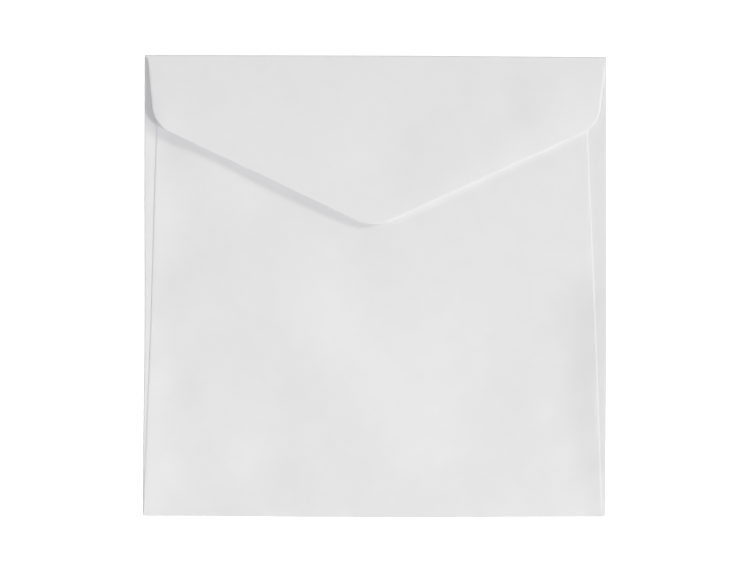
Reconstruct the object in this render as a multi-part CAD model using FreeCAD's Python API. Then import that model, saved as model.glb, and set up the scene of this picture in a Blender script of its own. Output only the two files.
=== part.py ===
import FreeCAD, Part
import math
import os

# A square paper envelope, lying on its address side with its pointed flap folded over and not sealed.
# It is one die-cut sheet: the two side flaps are folded in, the back panel is folded up from the bottom
# and bonded to them along the side seams, and the seal flap is folded down from the top.
# Millimetres. X runs across the envelope, Y runs up towards the fold of the seal flap, and Z runs up out
# of the flap side. The origin is the centre of the address side, on the surface that it lies on.

# Finished size over the folds, and the sheet
width = 160.0
height = 160.0
paper = 0.12

# Side flaps, which lie under the back panel
side_flap_width = 18.0
side_flap_end_deg = 14.0
side_flap_corner_radius = 3.0
side_crease_gap = 0.5

# Back panel and its glued seams
throat_depth = 18.0
throat_corner_radius = 5.0
seam_inset = 0.7
seam_taper_deg = 2.0
panel_drift_at_fold = -0.28
panel_drift_at_throat = -1.0
glue_film = 0.04
glue_line_width = 7.0
glue_line_inset = 1.5
glue_line_end_gap = 4.0
pocket_gap = 0.25

# Seal flap
flap_depth = 60.0
flap_corner_depth = 24.15
flap_corner_inset = 3.05
flap_side_inset = 0.7
flap_root_inset = 0.3
flap_nick_depth = 1.2
flap_corner_radius = 11.0
flap_tip_radius = 16.0
flap_side_drift = 0.4
flap_tip_drift = -0.5
flap_clearance = 0.35
flap_lift_deg = 2.4
flap_tip_rise = 0.7

# Slit at each corner of the envelope, which keeps the side folds clear of the top and bottom folds
corner_slit = 0.25

# How the back panel sinks between its folds: the distance in from a fold, and the share of the full sag
# that the panel's control points have there. The first two rows keep it level as it leaves the bottom fold.
sag_from_side = [(0.0, 0.0), (5.0, 0.3), (12.0, 0.75), (22.0, 1.0), (36.0, 1.0)]
sag_from_bottom = [(0.0, 0.0), (8.0, 0.0), (20.0, 0.5), (40.0, 1.0), (70.0, 1.0)]

# Heights of the undersides of the plies at the folds, from the surface up
side_flap_level = paper + side_crease_gap
panel_level = side_flap_level + paper + glue_film
flap_level = panel_level + paper + flap_clearance
full_sag = panel_level - paper - pocket_gap

# Each fold is a half turn of the sheet, so its outer radius follows from the ply that it lifts
side_fold_radius = (side_flap_level + paper) / 2
bottom_fold_radius = (panel_level + paper) / 2
top_fold_radius = (flap_level + paper) / 2

# Lines where the flat front panel meets the folds, and where the back panel ends
front_side = width / 2 - side_fold_radius
front_bottom = -height / 2 + bottom_fold_radius
front_top = height / 2 - top_fold_radius
throat = height / 2 - throat_depth

# More than any height in the envelope, for prisms that cut an outline out of a ply
clear_of_all = 10 * flap_level


def line(start, end):
    return Part.LineSegment(start, end).toShape()


def prism(corners, low, high):
    """A vertical prism on a plan outline. Each corner is (x, y, radius), and a radius of 0 leaves it sharp."""
    rounded = []
    count = len(corners)
    for i, (x, y, radius) in enumerate(corners):
        here = FreeCAD.Vector(x, y, low)
        if radius == 0:
            rounded.append((here, None, here))
            continue
        before = (FreeCAD.Vector(*corners[i - 1][:2], low) - here).normalize()
        after = (FreeCAD.Vector(*corners[(i + 1) % count][:2], low) - here).normalize()
        half = before.getAngle(after) / 2
        reach = radius / math.tan(half)
        inward = (before + after).normalize()
        middle = here + inward * (radius / math.sin(half) - radius)
        rounded.append((here + before * reach, middle, here + after * reach))
    edges = []
    for i, (arrive, middle, leave) in enumerate(rounded):
        if middle is not None:
            edges.append(Part.Arc(arrive, middle, leave).toShape())
        edges.append(line(leave, rounded[(i + 1) % count][0]))
    face = Part.Face(Part.Wire(edges))
    return face.extrude(FreeCAD.Vector(0, 0, high - low))


def bent_strip(place, start, heading_deg, bends):
    """A face one paper thick along a path of tangent bends, in a plane.
    start is the path's first point and heading_deg its first direction, on the middle of the sheet.
    Each bend is (radius, turn in degrees), anticlockwise if positive. place(u, v) gives the point in space."""
    u, v = start
    angle = math.radians(heading_deg)
    edges = []

    def on_side(offset):
        return place(u - offset * math.sin(angle), v + offset * math.cos(angle))

    first = [on_side(offset) for offset in (-paper / 2, paper / 2)]
    edges.append(line(*first))
    ends = first
    for radius, turn_deg in bends:
        centre_side = math.copysign(radius, turn_deg)
        centre_u = u - centre_side * math.sin(angle)
        centre_v = v + centre_side * math.cos(angle)
        stations = []
        for _ in range(2):
            angle += math.radians(turn_deg) / 2
            u = centre_u + centre_side * math.sin(angle)
            v = centre_v - centre_side * math.cos(angle)
            stations.append([on_side(offset) for offset in (-paper / 2, paper / 2)])
        middles, finishes = stations
        for begin, middle, finish in zip(ends, middles, finishes):
            edges.append(Part.Arc(begin, middle, finish).toShape())
        ends = finishes
    edges.append(line(*ends))
    return Part.Face(Part.Wire(Part.__sortEdges__(edges)))


def front_panel():
    """The address side: the flat of the sheet between the four folds."""
    size = (2 * front_side, front_top - front_bottom, paper)
    return Part.makeBox(*size, FreeCAD.Vector(-front_side, front_bottom, 0))


def clamped_knots(pole_count, degree):
    """Knots and multiplicities of a clamped B-spline with evenly spaced spans."""
    spans = pole_count - degree
    knots = [i / spans for i in range(spans + 1)]
    return knots, [degree + 1] + [1] * (spans - 1) + [degree + 1]


def seam_surface(underside):
    """The surface that the back panel and the side flaps share: level at the folds and sunk between them.
    underside is its height at the folds."""
    columns = [(-front_side + inward, share) for inward, share in sag_from_side]
    columns += [(0.0, 1.0)]
    columns += [(front_side - inward, share) for inward, share in reversed(sag_from_side)]
    rows = [(front_bottom + up, share) for up, share in sag_from_bottom]
    rows += [((rows[-1][0] + front_top) / 2, 1.0), (front_top, 1.0)]
    poles = []
    for x, across in columns:
        poles.append([FreeCAD.Vector(x, y, underside - full_sag * across * up) for y, up in rows])
    degree = 3
    u_knots, u_mults = clamped_knots(len(columns), degree)
    v_knots, v_mults = clamped_knots(len(rows), degree)
    surface = Part.BSplineSurface()
    surface.buildFromPolesMultsKnots(poles, u_mults, v_mults, u_knots, v_knots, False, False, degree, degree)
    return surface.toShape()


def ply(underside, thickness, outline):
    """One layer over the seam surface, cut to its outline."""
    slab = seam_surface(underside).extrude(FreeCAD.Vector(0, 0, thickness))
    return slab.common(prism(outline, -clear_of_all, clear_of_all))


def panel_side(side, y):
    """Where the back panel's side edge is at height y. side is -1 at the left and 1 at the right."""
    up = y - front_bottom
    drift_per_mm = (panel_drift_at_throat - panel_drift_at_fold) / (throat - front_bottom)
    inset = seam_inset + up * math.tan(math.radians(seam_taper_deg))
    return side * (width / 2 - inset) + panel_drift_at_fold + drift_per_mm * up


def back_panel():
    """The panel that is folded up from the bottom, with the bottom fold that carries it."""
    outline = [
        (panel_side(-1, front_bottom), front_bottom, 0),
        (panel_side(1, front_bottom), front_bottom, 0),
        (panel_side(1, throat), throat, throat_corner_radius),
        (panel_side(-1, throat), throat, throat_corner_radius),
    ]
    left, right = outline[0][0], outline[1][0]
    section = bent_strip(
        lambda u, v: FreeCAD.Vector(left, u, v),
        (front_bottom, paper / 2), 180, [(bottom_fold_radius - paper / 2, -180)],
    )
    fold = section.extrude(FreeCAD.Vector(right - left, 0, 0))
    return ply(panel_level, paper, outline).fuse(fold)


def side_flap(side):
    """A side flap with the side fold that carries it. side is -1 at the left and 1 at the right."""
    low = -height / 2 + bottom_fold_radius + corner_slit
    high = front_top - corner_slit
    inner = width / 2 - side_flap_width
    slant = (side_flap_width - side_fold_radius) * math.tan(math.radians(side_flap_end_deg))
    outline = [
        (side * front_side, low, 0),
        (side * inner, low + slant, side_flap_corner_radius),
        (side * inner, high - slant, side_flap_corner_radius),
        (side * front_side, high, 0),
    ]
    section = bent_strip(
        lambda u, v: FreeCAD.Vector(side * u, low, v),
        (front_side, paper / 2), 0, [(side_fold_radius - paper / 2, 180)],
    )
    fold = section.extrude(FreeCAD.Vector(0, high - low, 0))
    return ply(side_flap_level, paper, outline).fuse(fold)


def glued_seam(side):
    """The bond between a side flap and the back panel, a narrow band just inside the panel's edge.
    It starts and ends in the middle of the two plies, so that it joins them right through."""
    low = front_bottom + corner_slit + side_flap_width * math.tan(math.radians(side_flap_end_deg))
    low += glue_line_end_gap
    high = throat - throat_corner_radius - glue_line_end_gap
    outer = glue_line_inset
    inner = glue_line_inset + glue_line_width
    outline = [
        (panel_side(side, low) - side * outer, low, 0),
        (panel_side(side, low) - side * inner, low, 0),
        (panel_side(side, high) - side * inner, high, 0),
        (panel_side(side, high) - side * outer, high, 0),
    ]
    return ply(side_flap_level + paper / 2, paper + glue_film, outline)


def seal_flap():
    """The pointed flap with its fold: it springs a little open, bows over the panel and ends in a round tip."""
    length = flap_depth - top_fold_radius
    rise = math.tan(math.radians(flap_lift_deg))
    bow_radius = length ** 2 / (2 * (length * rise - flap_tip_rise))
    bow_deg = math.degrees(length / bow_radius)
    section = bent_strip(
        lambda u, v: FreeCAD.Vector(-width / 2, u, v),
        (front_top, paper / 2), 0,
        [(top_fold_radius - paper / 2, 180 - flap_lift_deg), (bow_radius, bow_deg)],
    )
    strip = section.extrude(FreeCAD.Vector(width, 0, 0))
    fold_line = height / 2
    root = width / 2 - flap_root_inset
    side = width / 2 - flap_side_inset
    corner = width / 2 - flap_corner_inset
    nick = front_top - flap_nick_depth
    corner_y = fold_line - flap_corner_depth
    outline = [
        (root, fold_line + top_fold_radius, 0),
        (-root, fold_line + top_fold_radius, 0),
        (-root, front_top, 0),
        (-side + flap_side_drift, nick, 0),
        (-corner, corner_y, flap_corner_radius),
        (flap_tip_drift, fold_line - flap_depth, flap_tip_radius),
        (corner, corner_y, flap_corner_radius),
        (side + flap_side_drift, nick, 0),
        (root, front_top, 0),
    ]
    return strip.common(prism(outline, -clear_of_all, clear_of_all))


def envelope():
    """The whole folded sheet as one solid."""
    parts = [back_panel(), seal_flap()]
    parts += [side_flap(side) for side in (-1, 1)]
    parts += [glued_seam(side) for side in (-1, 1)]
    return front_panel().fuse(parts).removeSplitter()


os.makedirs("parts", exist_ok=True)
folded_sheet = envelope()
folded_sheet.exportStep("parts/envelope.step")
box = folded_sheet.BoundBox
print("solids", len(folded_sheet.Solids), "valid", folded_sheet.isValid(), "faces", len(folded_sheet.Faces))
print("volume mm3", round(folded_sheet.Volume, 1))
print("size mm", round(box.XLength, 3), round(box.YLength, 3), round(box.ZLength, 3))
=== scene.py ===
# %% [markdown]
# A square paper envelope, seen from its flap side
#
# The object is one sheet of white paper, cut, folded and glued. There is no second part, so the whole look
# comes from thin things: the roll of the folds, the soft edge of each cut, the gap under the open flap and
# the gentle waves in the back panel. This lesson folds the sheet the way it is folded on the machine. It
# models the middle of the sheet as one surface, gives that its thickness last, and then lights it from low
# down, so that paper an eighth of a millimetre thick still shows its edges.
#
# The first cell loads the measured model. Everything is in metres, X runs across the envelope, Y runs up to
# the fold of the flap, and Z runs up out of the flap side.

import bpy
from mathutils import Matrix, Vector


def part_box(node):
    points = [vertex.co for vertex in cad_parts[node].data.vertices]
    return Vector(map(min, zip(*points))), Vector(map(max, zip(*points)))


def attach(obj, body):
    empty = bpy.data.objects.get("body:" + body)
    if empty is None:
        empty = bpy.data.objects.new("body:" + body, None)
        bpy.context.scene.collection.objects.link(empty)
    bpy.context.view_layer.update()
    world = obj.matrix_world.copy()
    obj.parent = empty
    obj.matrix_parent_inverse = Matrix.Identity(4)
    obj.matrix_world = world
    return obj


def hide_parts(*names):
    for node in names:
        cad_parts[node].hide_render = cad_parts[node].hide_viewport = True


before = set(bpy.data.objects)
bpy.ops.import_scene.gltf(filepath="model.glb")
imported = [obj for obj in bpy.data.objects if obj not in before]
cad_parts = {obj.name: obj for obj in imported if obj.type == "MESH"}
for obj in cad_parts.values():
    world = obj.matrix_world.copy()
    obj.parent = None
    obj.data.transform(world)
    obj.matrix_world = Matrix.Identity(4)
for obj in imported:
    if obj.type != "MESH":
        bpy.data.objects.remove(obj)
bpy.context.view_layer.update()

# %% Tools and units
import math

import bmesh
import bpy
from mathutils import Vector

MM = 0.001
MICRON = 0.001 * MM
LEFT, RIGHT = -1, 1
HALF_TURN = math.pi
print("a micron is", MICRON, "metres")

# %% [markdown]
# The sheet and its plies
#
# A folded sheet is described by its plies: which layer lies at which height. Four layers matter here. The
# front panel lies on the table, the side flaps are folded in over it, the back panel is folded up over them,
# and the seal flap comes down last. A fold that lifts a ply by some height is a half turn whose radius is
# half of that height, so the radii don't have to be chosen. They follow from the levels.
#
# A crease is flatter than a half circle, because it was pressed. Each fold is made round first and then
# squashed to a share of its depth, so the flat of the front panel ends that much closer to the outline.

# %% Levels of the plies and radii of the folds
low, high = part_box("envelope")
half_width = (high[0] - low[0]) / 2
half_height = (high[1] - low[1]) / 2
paper = 0.12 * MM
side_crease_gap = 0.5 * MM
glue_film = 0.02 * MM
flap_clearance = 0.35 * MM
front_level = paper / 2
side_level = front_level + paper + side_crease_gap
panel_level = side_level + paper + glue_film
flap_level = panel_level + paper + flap_clearance
fold_radius = {
    "side": (side_level - front_level) / 2,
    "bottom": (panel_level - front_level) / 2,
    "top": (flap_level - front_level) / 2,
}
fold_squash, top_squash = 0.5, 0.45
front_side = half_width - fold_radius["side"] * fold_squash - paper / 2
front_bottom = -half_height + fold_radius["bottom"] * fold_squash + paper / 2
front_top = half_height - fold_radius["top"] * top_squash - paper / 2
print({name: round(radius / MM, 3) for name, radius in fold_radius.items()})

# %% [markdown]
# Choosing what an operator works on
#
# Edit mode operators act on whatever is selected, and by hand you would click on it. In a script the click
# is a question about place: is this face on the back panel? The helper below clears the selection and then
# picks every vertex, edge or face whose middle passes such a question.

# %% A helper that selects by place
def middle_of(element):
    if isinstance(element, bmesh.types.BMVert):
        return element.co
    if isinstance(element, bmesh.types.BMEdge):
        return (element.verts[0].co + element.verts[1].co) / 2
    return element.calc_center_median()


def pick(kind, wanted):
    """Select the elements of one kind whose middle point passes the test, and nothing else."""
    bpy.ops.mesh.select_mode(type=kind)
    bpy.ops.mesh.select_all(action="DESELECT")
    mesh = bmesh.from_edit_mesh(bpy.context.object.data)
    elements = {"VERT": mesh.verts, "EDGE": mesh.edges, "FACE": mesh.faces}[kind]
    chosen = [element for element in elements if not element.hide and wanted(middle_of(element))]
    for element in chosen:
        element.select_set(True)
    mesh.select_flush_mode()
    bmesh.update_edit_mesh(bpy.context.object.data)
    return len(chosen)


def near(a, b, tolerance=2 * MICRON):
    return abs(a - b) < tolerance


# %% [markdown]
# The front panel
#
# The front panel is the part of the sheet that the address is written on. It is a plain rectangle between
# the four folds, and every other part of the sheet grows out of one of its edges, so it is the natural start.

# %% Front panel
bpy.ops.object.select_all(action="DESELECT")
bpy.ops.mesh.primitive_plane_add(size=1, location=(0, (front_top + front_bottom) / 2, front_level))
sheet = bpy.context.object
sheet.name = "folded_sheet"
sheet.scale = (2 * front_side, front_top - front_bottom, 1)
bpy.ops.object.transform_apply(location=True, rotation=True, scale=True)
bpy.ops.object.mode_set(mode="EDIT")
print("front panel", [round(size / MM, 2) for size in sheet.dimensions])

# %% [markdown]
# Folding
#
# A fold is a spin: the edge is swept half a turn about a line that lies above it, and leaves a row of narrow
# faces behind. The free edge that comes out of the fold stays selected, and is then extruded to make the
# panel beyond it. Twelve steps keep the fold smooth even where the camera is close and low. Last, what stands
# out beyond the line where the fold began is scaled towards that line, which presses the fold to a crease.

# %% A helper that presses a fold
fold_steps = 12


def squash_fold(beyond, scale, centre):
    """Press the points that pass the test towards a centre, each way to its share of the distance."""
    pick("VERT", beyond)
    bpy.ops.transform.resize(value=scale, center_override=centre)


# %% Side flaps
side_flap_width = 18 * MM
for side in (LEFT, RIGHT):
    pick("EDGE", lambda at: near(at.x, side * front_side) and near(at.z, front_level))
    bpy.ops.mesh.spin(
        steps=fold_steps,
        angle=HALF_TURN,
        center=(side * front_side, 0, front_level + fold_radius["side"]),
        axis=(0, side, 0),
    )
    reach = side_flap_width - (half_width - front_side)
    bpy.ops.mesh.extrude_region_move(TRANSFORM_OT_translate={"value": (-side * reach, 0, 0)})
    squash_fold(
        lambda at: side * at.x > front_side + MICRON,
        scale=(fold_squash, 1, 1),
        centre=(side * front_side, 0, 0),
    )
print("side flaps folded, points", len(bmesh.from_edit_mesh(sheet.data).verts))

# %% Bottom fold and back panel
throat_depth = 18 * MM
throat = half_height - throat_depth
pick("EDGE", lambda at: near(at.y, front_bottom) and near(at.z, front_level))
bpy.ops.mesh.spin(
    steps=fold_steps,
    angle=HALF_TURN,
    center=(0, front_bottom, front_level + fold_radius["bottom"]),
    axis=(1, 0, 0),
)
bpy.ops.mesh.extrude_region_move(TRANSFORM_OT_translate={"value": (0, throat - front_bottom, 0)})
squash_fold(
    lambda at: at.y < front_bottom - MICRON,
    scale=(1, fold_squash, 1),
    centre=(0, front_bottom, 0),
)
print("back panel folded, points", len(bmesh.from_edit_mesh(sheet.data).verts))

# %% [markdown]
# The seal flap
#
# The flap isn't pressed flat. It leaves its fold a few degrees open and then bows back down, because the
# sheet was only folded over and never stuck. The fold is a spin that stops short of half a turn. The bow is
# a second spin, about a line nearly a metre below, which is the same as bending the flap round a big drum.
# The size of that drum follows from how far the tip ends above the level where the flap began.

# %% Top fold and seal flap
flap_depth = 60 * MM
flap_lift = math.radians(2.4)
flap_tip_rise = 0.7 * MM
flap_length = flap_depth - (half_height - front_top)
bow_radius = flap_length ** 2 / (2 * (flap_length * math.tan(flap_lift) - flap_tip_rise))
bow_steps = 24
pick("EDGE", lambda at: near(at.y, front_top) and near(at.z, front_level))
bpy.ops.mesh.spin(
    steps=fold_steps,
    angle=flap_lift - HALF_TURN,
    center=(0, front_top, front_level + fold_radius["top"]),
    axis=(1, 0, 0),
)
to_drum = bow_radius - fold_radius["top"]
drum_y = front_top - to_drum * math.sin(flap_lift)
drum_z = front_level + fold_radius["top"] - to_drum * math.cos(flap_lift)
bpy.ops.mesh.spin(
    steps=bow_steps,
    angle=-flap_length / bow_radius,
    center=(0, drum_y, drum_z),
    axis=(1, 0, 0),
)
# The flap's own first points lie a little past the line where the fold began, and aren't pressed.
past_flap_root = 40 * MICRON
squash_fold(
    lambda at: at.y > front_top + past_flap_root,
    scale=(1, top_squash, 1),
    centre=(0, front_top, 0),
)
print("bow radius mm", round(bow_radius / MM), "faces", len(bmesh.from_edit_mesh(sheet.data).faces))

# %% [markdown]
# Cutting the plies to shape
#
# The die cuts every flap with straight sides and rounded corners. All of them are convex, which makes the
# cutting simple: a convex shape is what is left after one straight cut along each side. A rounded corner is
# a handful of short sides that touch its circle. The first helper walks round the corners and gives each
# side as a point and an outward direction, and the second bisects a ply along all of them.

# %% Helpers that cut a ply to a convex outline
def sides_of(corners, arc_steps=10):
    """The sides of a convex outline, as points and outward directions.
    Its corners run anticlockwise, each as (x, y, radius)."""
    sides = []
    count = len(corners)
    for i, (x, y, radius) in enumerate(corners):
        here = Vector((x, y))
        arriving = (here - Vector(corners[i - 1][:2])).normalized()
        leaving = (Vector(corners[(i + 1) % count][:2]) - here).normalized()
        turn = math.atan2(arriving.x * leaving.y - arriving.y * leaving.x, arriving.dot(leaving))
        first = math.atan2(-arriving.x, arriving.y)
        inward = (leaving - arriving).normalized()
        centre = here + inward * (radius / math.cos(turn / 2))
        steps = arc_steps if radius else 1
        for step in range(steps + 1):
            angle = first + turn * step / steps
            outward = Vector((math.cos(angle), math.sin(angle)))
            sides.append((centre + outward * radius, outward))
    return sides


def cut(is_on_ply, sides):
    """Bisect one ply along each side and delete its faces beyond it, but no point that another face uses."""
    for point, outward in sides:
        pick("FACE", is_on_ply)
        bpy.ops.mesh.bisect(plane_co=(*point, 0), plane_no=(*outward, 0), threshold=MICRON)
        if pick("FACE", lambda at: is_on_ply(at) and (at.xy - point).dot(outward) > 0):
            bpy.ops.mesh.delete(type="FACE")


# %% Side flaps cut to shape
corner_slit = 0.12 * MM
slit_low = front_bottom + corner_slit
slit_high = front_top - corner_slit
side_inner = half_width - side_flap_width
side_end_slant = math.tan(math.radians(14))
slant_height = (side_flap_width - (half_width - front_side)) * side_end_slant
side_radius = 3 * MM
for side in (LEFT, RIGHT):
    ends = [
        (side * (half_width + MM), slit_low, 0),
        (side * (half_width + MM), slit_high, 0),
        (side * front_side, slit_high, 0),
        (side * side_inner, slit_high - slant_height, side_radius),
        (side * side_inner, slit_low + slant_height, side_radius),
        (side * front_side, slit_low, 0),
    ]
    if side == LEFT:
        ends.reverse()

    def on_side_flap(at):
        return front_level + MICRON < at.z < side_level + 10 * MICRON and side * at.x > side_inner - MM

    cut(lambda at: on_side_flap(at) and abs(at.y) < front_top - 10 * MICRON, sides_of(ends))
print("side flaps cut, faces", len(bmesh.from_edit_mesh(sheet.data).faces))

# %% Back panel cut to shape
seam_inset = 0.7 * MM
seam_taper = math.tan(math.radians(2.0))
drift_at_fold, drift_at_throat = -0.5 * MM, -1.3 * MM
throat_radius = 5 * MM


def panel_side(side, y):
    """Where the back panel's side edge is. The panel was folded up a little to the left of centre."""
    up = y - front_bottom
    drift = drift_at_fold + (drift_at_throat - drift_at_fold) * up / (throat - front_bottom)
    return side * (half_width - seam_inset - up * seam_taper) + drift


below = -half_height - MM
panel_sides = sides_of([
    (panel_side(LEFT, below), below, 0),
    (panel_side(RIGHT, below), below, 0),
    (panel_side(RIGHT, throat), throat, throat_radius),
    (panel_side(LEFT, throat), throat, throat_radius),
])


def on_back_panel(at):
    return near(at.z, panel_level, 10 * MICRON)


def on_bottom_fold(at):
    return at.y < front_bottom - MICRON and abs(at.x) < front_side


cut(lambda at: on_back_panel(at) or on_bottom_fold(at), panel_sides)
print("back panel cut, faces", len(bmesh.from_edit_mesh(sheet.data).faces))

# %% Seal flap cut to shape
flap_corner_inset, flap_corner_depth = 3.2 * MM, 24.15 * MM
flap_corner_drift = 0.15 * MM
flap_side_inset, flap_side_drift = 0.7 * MM, 0.5 * MM
flap_tip_drift = -0.5 * MM
shoulder_radius, tip_radius = 11 * MM, 16 * MM
nick_depth = 1.2 * MM
nick = front_top - nick_depth
corner_y = half_height - flap_corner_depth


def flap_side(side, y):
    """Where the straight side of the seal flap is. The flap also came down a little off centre."""
    top_x = side * (half_width - flap_side_inset) + flap_side_drift
    corner_x = side * (half_width - flap_corner_inset) + flap_corner_drift
    return corner_x + (top_x - corner_x) * (y - corner_y) / (nick - corner_y)


above = half_height + MM
flap_sides = sides_of([
    (flap_side(LEFT, above), above, 0),
    (flap_side(LEFT, corner_y), corner_y, shoulder_radius),
    (flap_tip_drift, half_height - flap_depth, tip_radius),
    (flap_side(RIGHT, corner_y), corner_y, shoulder_radius),
    (flap_side(RIGHT, above), above, 0),
])
# No point of the flap lies lower on the envelope than this, five millimetres below its tip.
below_tip = 15 * MM


def on_seal_flap(at):
    return at.z > flap_level - 10 * MICRON and below_tip < at.y < front_top + 10 * MICRON


# The sides are cut below the nick. Above it the left side runs back out to the corner of the front panel.
pick("FACE", on_seal_flap)
bpy.ops.mesh.bisect(plane_co=(0, nick, 0), plane_no=(0, 1, 0), threshold=MICRON)
cut(lambda at: on_seal_flap(at) and at.y < nick, flap_sides)
nick_run = Vector((flap_side(LEFT, nick) + front_side, nick - front_top))
nick_side = (Vector((-front_side, front_top)), Vector((nick_run.y, -nick_run.x)).normalized())
cut(lambda at: on_seal_flap(at) and at.y > nick, [nick_side])
print("seal flap cut, faces", len(bmesh.from_edit_mesh(sheet.data).faces))

# %% [markdown]
# Soft cut edges
#
# A die doesn't leave a square edge. It presses the paper as it cuts, so the last half millimetre rolls down
# and thins out. That roll is what draws a bright line along each edge that faces the light, so it is worth
# three narrow bands of faces, which insetting a ply makes.

# %% Bands of faces along the cut edges
panel_bands = [0.1 * MM, 0.15 * MM, 0.25 * MM]
flap_bands = [0.1 * MM, 0.2 * MM, 0.3 * MM]
for on_ply, bands in (
    (lambda at: on_back_panel(at) and at.y > front_bottom, panel_bands),
    (lambda at: on_seal_flap(at) and at.y < nick, flap_bands),
):
    pick("FACE", on_ply)
    for band in bands:
        bpy.ops.mesh.inset(thickness=band, depth=0, use_boundary=True, use_even_offset=False)
area = sum(face.calc_area() for face in bmesh.from_edit_mesh(sheet.data).faces)
print("bands added, sheet of", round(area / MM ** 2), "square millimetres")

# %% [markdown]
# Enough points to bend
#
# So far each panel is one large face, which can't bend. Bisecting the whole sheet with parallel planes rules
# a grid over all the plies at once, and the grid lines meet across the folds as they would on a real sheet.

# %% Rule a grid over the sheet
def rule(planes):
    """Bisect all that is visible with upright planes, each a point and a direction."""
    for point, direction in planes:
        bpy.ops.mesh.select_all(action="SELECT")
        bpy.ops.mesh.bisect(plane_co=(*point, 0), plane_no=(*direction, 0), threshold=20 * MICRON)


grid_pitch = 2.5 * MM
beside_fold = 0.15 * MM
lines = math.ceil(half_width / grid_pitch)
rulings = [k * grid_pitch for k in range(1 - lines, lines)]
rule([((x, 0), (1, 0)) for x in rulings + [beside_fold - front_side, front_side - beside_fold]])
rule([((0, y), (0, 1)) for y in rulings + [front_bottom + beside_fold, front_top - beside_fold]])
print("ruled, faces", len(bmesh.from_edit_mesh(sheet.data).faces))

# %% [markdown]
# Rolling the cut edges down
#
# Each point in the bands gets a share, from 0 where the roll begins to 1 on the cut edge. The share fades
# out near a fold, which holds the sheet stiff. Points of about one share are then picked together, lowered
# by that share of the drop, and given a weight that will thin the sheet there.

# %% Roll the cut edges down
roll_drop = 0.02 * MM
thick = sheet.vertex_groups.new(name="full_thickness")
pick("VERT", lambda at: True)
bpy.context.tool_settings.vertex_group_weight = 1
bpy.ops.object.vertex_group_assign()


def lift_by_share(on_ply, share_at, height, thins=False):
    """Lift each point of a ply by its own share of a height, in steps of a sixteenth."""
    steps = 16
    pick("VERT", lambda at: on_ply(at) and round(share_at(at) * steps) > 0)
    print("points to move", sheet.data.total_vert_sel)
    bpy.ops.mesh.hide(unselected=True)
    for step in range(1, steps + 1):
        if not pick("VERT", lambda at: round(share_at(at) * steps) == step):
            continue
        bpy.ops.transform.translate(value=(0, 0, height * step / steps))
        if thins:
            bpy.context.tool_settings.vertex_group_weight = 1 - step / steps
            bpy.ops.object.vertex_group_assign()
    bpy.ops.mesh.reveal(select=False)


def roll(sides, width, fold_y, fade_length=2 * MM):
    """How far over the roll a point is: 0 from a width inside the cut edge, 1 on the edge.
    It fades out towards the fold at fold_y."""
    def share_at(at):
        inside = min((point - at.xy).dot(outward) for point, outward in sides)
        return max(0, 1 - max(0, inside) / width) ** 2 * min(1, abs(at.y - fold_y) / fade_length)
    return share_at


lift_by_share(on_back_panel, roll(panel_sides, sum(panel_bands), front_bottom), -roll_drop, thins=True)
lift_by_share(on_seal_flap, roll(flap_sides, sum(flap_bands), nick), -roll_drop, thins=True)

# %% [markdown]
# The flap's sides
#
# The flap curls down a little along both sides, over a far wider strip than the roll of the cut, and most on
# the right. Under its slanting edge on the right it has pressed a faint ridge into the back panel, because
# envelopes are packed tightly. The curl on the right and the ridge face the light and show as a soft glow.
# A few lines are ruled beside the edges first, so that the curl and the ridge have points to stand on.

# %% Rule lines for the curl and the ridge
curl_width, ridge_reach = 2.6 * MM, 2.8 * MM
curl_lines = [-curl_width * k / 5 for k in range(2, 6)]
ridge_lines = [ridge_reach * k / 4 for k in range(-4, 5)]

# A side counts as right or left by how far its outward direction leans that way. The right diagonal counts,
# and the left one doesn't. The first right side past the round tip is the right diagonal.
right_lean, left_lean = 0.1, -0.6
past_tip = 10 * MM
right_sides = [side for side in flap_sides if side[1].x > right_lean]
left_sides = [side for side in flap_sides if side[1].x < left_lean]
diagonal = next(side for side in right_sides if side[0].x > past_tip)
left_edge, right_edge = flap_sides[1], flap_sides[-2]
below_ridge = 10 * MM
for on_ply, edges, offsets in (
    (on_seal_flap, (diagonal, left_edge, right_edge), curl_lines),
    (lambda at: on_back_panel(at) and at.y > below_ridge, (diagonal,), ridge_lines),
):
    pick("FACE", on_ply)
    bpy.ops.mesh.hide(unselected=True)
    rule([(point + outward * offset, outward) for point, outward in edges for offset in offsets])
    bpy.ops.mesh.reveal(select=False)
print("lines ruled, faces", len(bmesh.from_edit_mesh(sheet.data).faces))

# %% Curl the flap's sides and press the ridge
right_curl, right_edge_curl, left_curl = 0.07 * MM, 0.03 * MM, 0.05 * MM
ridge_height = 0.12 * MM
tip_fade, seam_fade = 12 * MM, 6 * MM


def ridge(at):
    """The share of the ridge's height: 1 below the flap's edge, fading out to its ends and its sides."""
    point, outward = diagonal
    away = abs((at.xy - point).dot(outward))
    to_seam = min((place - at.xy).dot(direction) for place, direction in panel_sides)
    across = max(0, 1 - away / ridge_reach) ** 2
    return across * min(1, max(0, at.x) / tip_fade) * min(1, max(0, to_seam) / seam_fade)


lift_by_share(on_seal_flap, roll(right_sides, curl_width, nick), -right_curl)
lift_by_share(on_seal_flap, roll([right_edge], sum(flap_bands), nick), -right_edge_curl)
lift_by_share(on_seal_flap, roll(left_sides, curl_width, nick), -left_curl)
lift_by_share(on_back_panel, ridge, ridge_height)

# %% [markdown]
# The waves of a real sheet
#
# A flat panel renders as a flat grey. Paper never lies that still: between its folds the back panel sinks
# and swells by a few tenths of a millimetre, and low light shows it as broad soft shade. Proportional editing
# is the tool for this. One point is lifted, and the points round it follow, less and less, out to a chosen
# reach. What must not follow is hidden first.
#
# It is done in three rounds. A pressed fold springs back, so the plies above the front panel are first lifted
# beside the side folds, and then puffed up or let down here and there along the side and bottom folds. The
# front panel stays on the table. Next the side flaps and the back panel move between the folds, and last the
# seal flap by itself. Beside a fold a sink stays small, or it would push the fold's upper half through its
# lower half.

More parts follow.
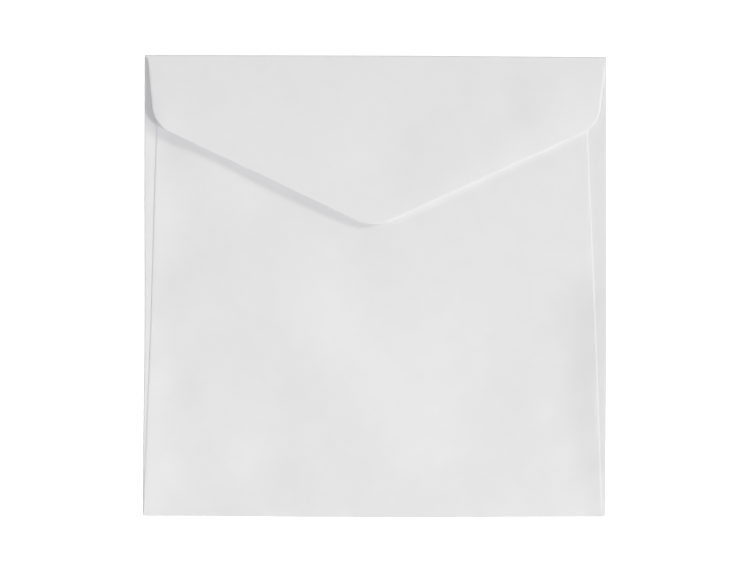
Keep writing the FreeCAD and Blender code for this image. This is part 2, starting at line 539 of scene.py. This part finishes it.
# %% Helpers that drag a place and what lies round it
def nearest_point(x, y, level):
    """Select the one visible point nearest to a place."""
    target = Vector((x, y, level))
    mesh = bmesh.from_edit_mesh(bpy.context.object.data)
    mesh.verts.ensure_lookup_table()
    visible = [vert for vert in mesh.verts if not vert.hide]
    closest = min(visible, key=lambda vert: (vert.co - target).length)
    bpy.ops.mesh.select_mode(type="VERT")
    bpy.ops.mesh.select_all(action="DESELECT")
    closest.select_set(True)
    bmesh.update_edit_mesh(bpy.context.object.data)


def drag(x, y, level, reach, move):
    """Drag the visible point nearest to a place, and the points round it less and less, out to the reach.
    The place, the reach and the move are in millimetres."""
    nearest_point(x * MM, y * MM, level)
    bpy.ops.transform.translate(
        value=[step * MM for step in move],
        use_proportional_edit=True,
        proportional_edit_falloff="SMOOTH",
        proportional_size=reach * MM,
    )


def swell(on_ply, places, level):
    """Lift the faces that pass the test at each place, which is x, y, the reach and the height."""
    pick("FACE", on_ply)
    bpy.ops.mesh.hide(unselected=True)
    for x, y, reach, height in places:
        drag(x, y, level, reach, (0, 0, height))
    bpy.ops.mesh.reveal(select=False)


# %% Spring the folds open
fold_spring = 0.2 * MM
spring_width, spring_fade = 8 * MM, 25 * MM
fold_puffs = [
    (-80, -66, 16, 0.4),
    (-80, -46, 16, 0.2),
    (-80, -26, 16, 0.1),
    (-80, 6, 30, 0.5),
    (-80, 18, 16, 0.2),
    (-80, 32, 14, 0.2),
    (-65, 26, 16, -0.2),
    (-73, 50, 14, -0.35),
    (-75, 57, 11, -0.2),
    (80, -66, 16, 0.3),
    (80, -50, 16, 0.25),
    (80, -34, 18, 0.5),
    (80, -18, 22, 0.6),
    (80, -8, 18, 0.45),
    (80, -14, 10, 0.2),
    (80, -25, 10, 0.15),
    (-40, -80, 18, 0.35),
    (-20, -80, 18, 0.45),
    (0, -80, 20, 0.55),
    (20, -80, 20, 0.7),
    (40, -80, 20, 0.6),
    (60, -80, 18, 0.4),
]


def above_front(at):
    return at.z > (front_level + side_level) / 2 and at.y < front_top and not on_seal_flap(at)


def springs(at):
    """The share of the spring: 1 on a side fold, fading out inwards and towards the opening."""
    beside = max(0, 1 - (half_width - abs(at.x)) / spring_width) ** 2
    return beside * min(1, max(0, front_top - at.y) / spring_fade)


lift_by_share(above_front, springs, fold_spring)
swell(above_front, fold_puffs, panel_level)
print("puffs", len(fold_puffs), "along the folds")

# %% Swell and sink the back panel with the side flaps
panel_waves = [
    (-36, -4, 36, 0.8),
    (-54, 0, 24, 0.5),
    (-24, -16, 26, 0.4),
    (-12, -34, 26, 0.65),
    (5, -52, 26, 0.55),
    (-14, 13, 24, -0.3),
    (-34, 27, 26, -0.4),
    (42, -28, 36, -0.4),
    (28, -34, 36, -0.25),
    (40, -50, 26, -0.15),
    (66, -44, 14, -0.35),
    (68, -28, 12, -0.25),
    (70, -60, 10, -0.25),
    (-70, -34, 10, -0.3),
    (-64, -6, 16, 0.25),
    (-38, -62, 17, -0.4),
    (-64, -62, 14, -0.15),
]


def between_folds(at):
    return front_bottom + 10 * MICRON < at.y and abs(at.x) < front_side - 10 * MICRON


swell(lambda at: between_folds(at) and above_front(at), panel_waves, panel_level)
print("waves", len(panel_waves), "on the panel")

# %% Swell and sink the seal flap
flap_waves = [
    (60, 60, 18, 0.65),
    (-76, 56, 12, 0.4),
    (38, 54, 24, 0.1),
    (38, 68, 12, 0.15),
    (52, 68, 12, 0.15),
    (4, 47, 24, -0.25),
    (66, 42, 30, -0.24),
    (-56, 60, 18, 0.1),
    (46, 48, 12, 0.3),
    (26, 40, 24, 0.25),
]
swell(on_seal_flap, flap_waves, flap_level + MM)
print("waves", len(flap_waves), "on the flap")

# %% [markdown]
# Not quite square
#
# No folded envelope is quite square. Here the corners on the left stand about a quarter of a millimetre out
# and the middle of that side is drawn in, while the right side bows outwards and loses about two thirds of
# a millimetre of its length. These moves take all the plies along, so no ply slides over another.

# %% Pull the outline a little out of square
outline_moves = [
    (-80, -80, 75, -0.25, 0.2),
    (-80, -8, 50, 0.15, 0),
    (-80, 80, 80, -0.2, 0),
    (80, -10, 75, 0.25, 0),
    (80, 80, 70, 0, -0.25),
    (80, -80, 70, 0.1, 0.4),
]
for x, y, reach, move_x, move_y in outline_moves:
    drag(x, y, panel_level, reach, (move_x, move_y, 0))
print("outline moves", len(outline_moves))

# %% [markdown]
# Thickness comes last
#
# Up to here the sheet had no thickness, which kept the folding and the bending simple. Solidify now grows it
# by half of the paper's thickness to either side, so each ply stays on its level. The weights from the roll
# thin it to about a third along the cut edges, where the die pressed it.

# %% Thickness
thinnest_share = 0.35
smooth_below = math.radians(40)
bpy.ops.mesh.select_all(action="SELECT")
bpy.ops.mesh.normals_make_consistent(inside=False)
bpy.ops.object.mode_set(mode="OBJECT")
solidify = sheet.modifiers.new("paper", "SOLIDIFY")
solidify.thickness = paper
solidify.offset = 0
solidify.use_quality_normals = True
solidify.vertex_group = thick.name
solidify.thickness_vertex_group = thinnest_share
bpy.ops.object.modifier_apply(modifier=solidify.name)
bpy.ops.object.shade_smooth_by_angle(angle=smooth_below)
print("sheet", len(sheet.data.vertices), "points", len(sheet.data.polygons), "faces")

# %% [markdown]
# Writing shaders as sums
#
# A shader is a tree of nodes, and a tree of Math nodes is hard to read. The class below wraps one socket and
# lets Python's own signs build the nodes, so a blend can be written as clouds * 0.7 + fibres * 0.3, with the
# number on either side. Its maker adds every other kind of node in one call: the type, its settings, and what
# goes into its sockets.

# %% A small language for shaders
class Value:
    """One output socket, which can be added and multiplied."""

    def __init__(self, maker, socket):
        self.maker = maker
        self.socket = socket

    def _math(self, operation, first, second):
        return self.maker.node("ShaderNodeMath", {"operation": operation}, {0: first, 1: second})

    def __add__(self, other):
        return self._math("ADD", self, other)

    def __mul__(self, other):
        return self._math("MULTIPLY", self, other)

    __radd__ = __add__
    __rmul__ = __mul__


class Maker:
    """Adds nodes to one tree."""

    def __init__(self, tree):
        self.tree = tree
        tree.nodes.clear()

    def node(self, kind, settings=None, inputs=None, output=0):
        made = self.tree.nodes.new(kind)
        for name, setting in (settings or {}).items():
            setattr(made, name, setting)
        for name, value in (inputs or {}).items():
            if isinstance(value, Value):
                self.tree.links.new(value.socket, made.inputs[name])
            else:
                made.inputs[name].default_value = value
        return Value(self, made.outputs[output]) if made.outputs else made


# %% [markdown]
# White paper
#
# Uncoated paper is nearly a perfect matt white with a trace of blue. Up close it is cloudy, because the
# fibres settle unevenly, and it has a very fine tooth. Both come from noise on the object's own coordinates:
# the clouds go into the colour by about one part in a hundred, and the tooth is a bump too low to see from
# a step away. It takes away the plastic look that an even surface has in low light.

# %% Paper material
def srgb(red, green, blue):
    """A colour written as on a screen, from 0 to 255, as the linear values a shader takes."""
    return tuple(((c / 255 + 0.055) / 1.055) ** 2.4 for c in (red, green, blue)) + (1,)


def paper_material():
    material = bpy.data.materials.new("paper")
    material.use_nodes = True
    maker = Maker(material.node_tree)
    place = maker.node("ShaderNodeTexCoord", output="Object")

    def noise(scale, detail):
        return maker.node(
            "ShaderNodeTexNoise",
            {"noise_dimensions": "3D"},
            {"Vector": place, "Scale": scale, "Detail": detail, "Roughness": 0.55},
        )

    clouds = noise(scale=150.0, detail=5.0)
    fibres = noise(scale=5200.0, detail=4.0)
    tooth = maker.node("ShaderNodeBump", {}, {"Strength": 0.12, "Distance": 0.03 * MM, "Height": fibres})
    # On a colour mix, socket 0 is the factor, 6 and 7 are the two colours, and output 2 is the mixed one.
    colour = maker.node(
        "ShaderNodeMix",
        {"data_type": "RGBA"},
        {0: clouds * 0.7 + fibres * 0.3, 6: srgb(228, 228, 231), 7: srgb(235, 235, 238)},
        output=2,
    )
    shader = maker.node(
        "ShaderNodeBsdfPrincipled",
        {},
        {"Base Color": colour, "Roughness": 0.85, "Specular IOR Level": 0.25, "Normal": tooth},
    )
    maker.node("ShaderNodeOutputMaterial", {}, {"Surface": shader})
    return material


sheet.data.materials.clear()
sheet.data.materials.append(paper_material())
print("material on", sheet.name)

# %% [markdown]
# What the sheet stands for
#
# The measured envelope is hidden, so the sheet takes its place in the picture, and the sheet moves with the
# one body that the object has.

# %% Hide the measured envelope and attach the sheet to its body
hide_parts("envelope")
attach(sheet, "root")
print(sheet.name, "stands for the envelope")

# %% [markdown]
# Table, light and camera
#
# The picture is high key: a white table under soft light. A large lamp almost overhead sets how bright the
# paper is. A small key lamp and a broader one like a window come in low from the right. They give the flap
# its narrow shadow on the left and its bright edge on the right, and they are faintly warm, so the shadows
# turn a little cool. A weak fill and a weaker back lamp keep the other sides from going dull. The table is
# whitened for the camera alone, so that it is white in the picture without throwing more light on the paper,
# and it still takes the shadow. The camera looks straight down through a long lens, a little turned, as the
# envelope lies in the picture.

# %% Table
table_gap = 0.05 * MM
table_glow = 0.5


def background_rays(maker):
    """1 for a ray that shows a background, seen, mirrored or through glass, and 0 for one that lights it."""
    names = ("Is Camera Ray", "Is Glossy Ray", "Is Transmission Ray")
    seen, mirrored, through = [maker.node("ShaderNodeLightPath", output=name) for name in names]
    return seen + mirrored + through


def table_material():
    material = bpy.data.materials.new("table")
    material.use_nodes = True
    maker = Maker(material.node_tree)
    glow = background_rays(maker) * table_glow
    plain = maker.node("ShaderNodeBsdfDiffuse", {}, {"Color": srgb(250, 250, 250)})
    lift = maker.node("ShaderNodeEmission", {}, {"Color": (1, 1, 1, 1), "Strength": glow})
    both = maker.node("ShaderNodeAddShader", {}, {0: plain, 1: lift})
    maker.node("ShaderNodeOutputMaterial", {}, {"Surface": both})
    return material


bpy.ops.mesh.primitive_plane_add(size=6, location=(0, 0, -table_gap))
table = bpy.context.object
table.name = "table"
table.data.materials.append(table_material())
print("table", [round(size, 2) for size in table.dimensions])

# %% World
sky_level = 0.16
world = bpy.data.worlds.new("studio")
bpy.context.scene.world = world
world.use_nodes = True
maker = Maker(world.node_tree)
brightness = background_rays(maker) * (1 - sky_level) + sky_level
sky = maker.node("ShaderNodeBackground", {}, {"Color": (1, 1, 1, 1), "Strength": brightness})
maker.node("ShaderNodeOutputWorld", {}, {"Surface": sky})
print("sky level", sky_level)


# %% Lamps
def lamp(name, azimuth, elevation, distance, size, share, colour=(1, 1, 1)):
    """An area lamp that looks at the origin.
    share is how bright it makes level white paper, where 1 is white."""
    side, up = math.radians(azimuth), math.radians(elevation)
    place = Vector((math.cos(side) * math.cos(up), math.sin(side) * math.cos(up), math.sin(up))) * distance
    light = bpy.data.lights.new(name, "AREA")
    light.shape = "DISK"
    light.size = size
    light.color = colour
    light.energy = share * (math.pi * distance) ** 2 / math.sin(up)
    made = bpy.data.objects.new(name, light)
    made.location = place
    made.rotation_euler = (-place).to_track_quat("-Z", "Y").to_euler()
    bpy.context.scene.collection.objects.link(made)
    print(name, round(light.energy, 1), "watts")


lamp("key", azimuth=20, elevation=18, distance=8, size=1.3, share=0.14, colour=(1, 0.985, 0.9))
lamp("window", azimuth=-27, elevation=21, distance=8, size=1.6, share=0.225, colour=(1, 0.995, 0.95))
lamp("overhead", azimuth=-80, elevation=72, distance=1.4, size=0.8, share=0.4)
lamp("fill", azimuth=-130, elevation=25, distance=6, size=2.0, share=0.05)
lamp("back", azimuth=90, elevation=15, distance=6, size=1.5, share=0.02)

# %% Camera
lens, sensor = 100.0, 36.0
picture_width = 259.9 * MM
camera_x, camera_y = -0.1 * MM, -0.85 * MM
camera_turn = math.radians(0.18)
camera_data = bpy.data.cameras.new("camera")
camera_data.lens = lens
camera_data.sensor_width = sensor
camera = bpy.data.objects.new("camera", camera_data)
camera.location = (camera_x, camera_y, picture_width * lens / sensor + panel_level)
camera.rotation_euler = (0, 0, camera_turn)
bpy.context.scene.collection.objects.link(camera)
bpy.context.scene.camera = camera
bpy.context.scene.view_settings.view_transform = "Standard"
print("camera", round(camera.location.z, 3), "metres up")
